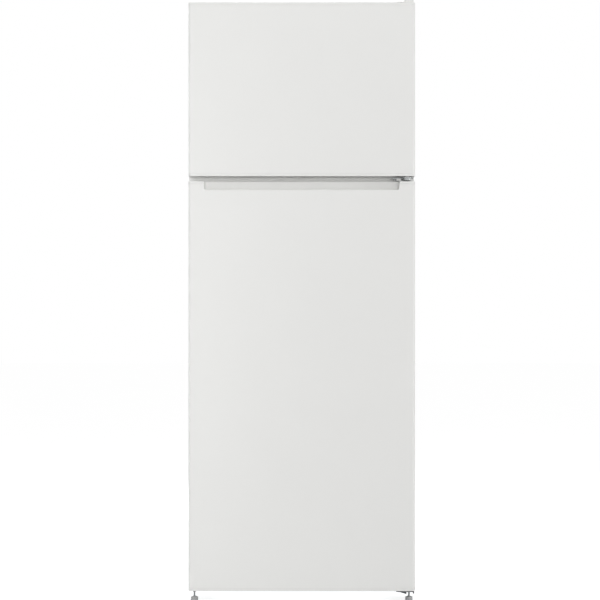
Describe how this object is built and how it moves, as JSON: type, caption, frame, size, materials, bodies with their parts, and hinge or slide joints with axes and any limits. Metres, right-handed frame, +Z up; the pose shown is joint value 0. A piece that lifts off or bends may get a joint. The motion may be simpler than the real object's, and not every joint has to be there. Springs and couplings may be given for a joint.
{
  "type": "top freezer refrigerator",
  "caption": "Free-standing refrigerator with a short freezer door over a tall fridge door, opening glass-shelved insulated compartments.",
  "frame": {"origin": "on the floor under the middle of the appliance's bounding box", "axes": "+X to the right seen from the front, +Y from the doors to the wall, +Z up"},
  "size_m": [0.7, 0.7, 1.861],
  "materials": {
    "aluminium": "satin",
    "black_enamel": "satin",
    "black_plastic": "matte",
    "clear_polystyrene": "gloss",
    "copper": "satin",
    "galvanised_steel": "satin",
    "gasket_vinyl": "matte",
    "grey_plastic": "satin",
    "grommet_rubber": "matte",
    "lamp_glass": "gloss",
    "liner_polystyrene": "gloss",
    "painted_steel": "gloss",
    "polyurethane_foam": "matte",
    "shelf_glass": "polished",
    "white_plastic": "satin"
  },
  "bodies": {
    "cabinet": {"cabinet_shell": "painted_steel", "rear_panel": "galvanised_steel", "bay_lining": "galvanised_steel", "cabinet_insulation": "polyurethane_foam", "freezer_liner": "liner_polystyrene", "fridge_liner": "liner_polystyrene", "centre_rail": "painted_steel", "base_frame": "galvanised_steel", "compressor": "black_enamel", "terminal_box": "black_plastic", "compressor_grommets": "grommet_rubber", "refrigerant_pipes": "copper", "filter_drier": "copper", "condenser": "black_enamel", "condenser_brackets": "black_plastic", "drip_tray": "black_plastic", "drain_tube": "clear_polystyrene", "evaporator": "aluminium", "defrost_heater": "galvanised_steel", "freezer_air_cover": "white_plastic", "fan_motor": "black_plastic", "fridge_air_duct": "white_plastic", "control_housing": "white_plastic", "lamp_bulb": "lamp_glass", "lamp_lens": "clear_polystyrene", "top_hinge": "galvanised_steel", "top_hinge_cover": "white_plastic", "middle_hinge": "galvanised_steel", "bottom_hinge": "black_enamel", "foot_bracket": "black_enamel", "hinge_screws": "galvanised_steel", "hinge_hole_plugs": "white_plastic", "mains_inlet": "black_plastic", "shelf_glass": "shelf_glass", "shelf_trims": "white_plastic", "ice_tray_frame": "white_plastic"},
    "freezer_door": {"freezer_door_skin": "painted_steel", "freezer_door_foam": "polyurethane_foam", "freezer_door_liner": "liner_polystyrene", "freezer_door_caps": "white_plastic", "freezer_door_gasket": "gasket_vinyl", "freezer_door_bins": "clear_polystyrene"},
    "fridge_door": {"fridge_door_skin": "painted_steel", "fridge_door_foam": "polyurethane_foam", "fridge_door_liner": "liner_polystyrene", "fridge_door_caps": "white_plastic", "fridge_door_gasket": "gasket_vinyl", "fridge_door_bins": "clear_polystyrene", "egg_tray": "white_plastic"},
    "crisper_drawer_left": {"crisper_drawer_left": "clear_polystyrene"},
    "crisper_drawer_right": {"crisper_drawer_right": "clear_polystyrene"},
    "ice_tray": {"ice_tray": "clear_polystyrene"},
    "ice_box": {"ice_box": "clear_polystyrene"},
    "thermostat_dial": {"thermostat_dial": "white_plastic"},
    "door_switch_button": {"door_switch_button": "grey_plastic"},
    "evaporator_fan": {"evaporator_fan": "black_plastic"},
    "foot_left": {"foot_left": "grey_plastic"},
    "foot_right": {"foot_right": "grey_plastic"},
    "roller_left": {"roller_left": "black_plastic"},
    "roller_right": {"roller_right": "black_plastic"}
  },
  "joints": [
    {"name": "freezer_door_hinge", "type": "hinge", "parent": "cabinet", "child": "freezer_door", "pos_m": [0.326, -0.325, 1.315], "axis": [0, 0, 1], "range_deg": [0, 125]},
    {"name": "fridge_door_hinge", "type": "hinge", "parent": "cabinet", "child": "fridge_door", "pos_m": [0.326, -0.325, 0.034], "axis": [0, 0, 1], "range_deg": [0, 125]},
    {"name": "crisper_slide_left", "type": "slide", "parent": "cabinet", "child": "crisper_drawer_left", "axis": [0, -1, 0], "range_m": [0, 0.18]},
    {"name": "crisper_slide_right", "type": "slide", "parent": "cabinet", "child": "crisper_drawer_right", "axis": [0, -1, 0], "range_m": [0, 0.18]},
    {"name": "ice_box_slide", "type": "slide", "parent": "cabinet", "child": "ice_box", "axis": [0, -1, 0], "range_m": [0, 0.15]},
    {"name": "ice_tray_twist", "type": "hinge", "parent": "cabinet", "child": "ice_tray", "pos_m": [-0.196, -0.072, 1.475], "axis": [0, 1, 0], "range_deg": [0, 140]},
    {"name": "thermostat_dial_turn", "type": "hinge", "parent": "cabinet", "child": "thermostat_dial", "pos_m": [0.01, -0.23, 1.248], "axis": [0, 1, 0], "range_deg": [0, 270]},
    {"name": "door_switch_travel", "type": "slide", "parent": "cabinet", "child": "door_switch_button", "axis": [0, -1, 0], "range_m": [0, 0.006]},
    {"name": "evaporator_fan_spin", "type": "hinge", "parent": "cabinet", "child": "evaporator_fan", "pos_m": [0, 0.222, 1.698], "axis": [0, 1, 0], "continuous": true},
    {"name": "foot_left_turn", "type": "hinge", "parent": "cabinet", "child": "foot_left", "pos_m": [-0.3327, -0.305, 0], "axis": [0, 0, 1], "continuous": true},
    {"name": "foot_right_turn", "type": "hinge", "parent": "cabinet", "child": "foot_right", "pos_m": [0.3327, -0.305, 0], "axis": [0, 0, 1], "continuous": true},
    {"name": "roller_left_spin", "type": "hinge", "parent": "cabinet", "child": "roller_left", "pos_m": [-0.305, 0.285, 0.014], "axis": [1, 0, 0], "continuous": true},
    {"name": "roller_right_spin", "type": "hinge", "parent": "cabinet", "child": "roller_right", "pos_m": [0.305, 0.285, 0.014], "axis": [1, 0, 0], "continuous": true}
  ],
  "couplings": [
    {"joint": "crisper_slide_left", "follows": "fridge_door_hinge", "m_per_rad": 0.082506},
    {"joint": "crisper_slide_right", "follows": "fridge_door_hinge", "m_per_rad": 0.082506},
    {"joint": "door_switch_travel", "follows": "fridge_door_hinge", "m_per_rad": 0.0027501},
    {"joint": "ice_box_slide", "follows": "freezer_door_hinge", "m_per_rad": 0.068755}
  ]
}
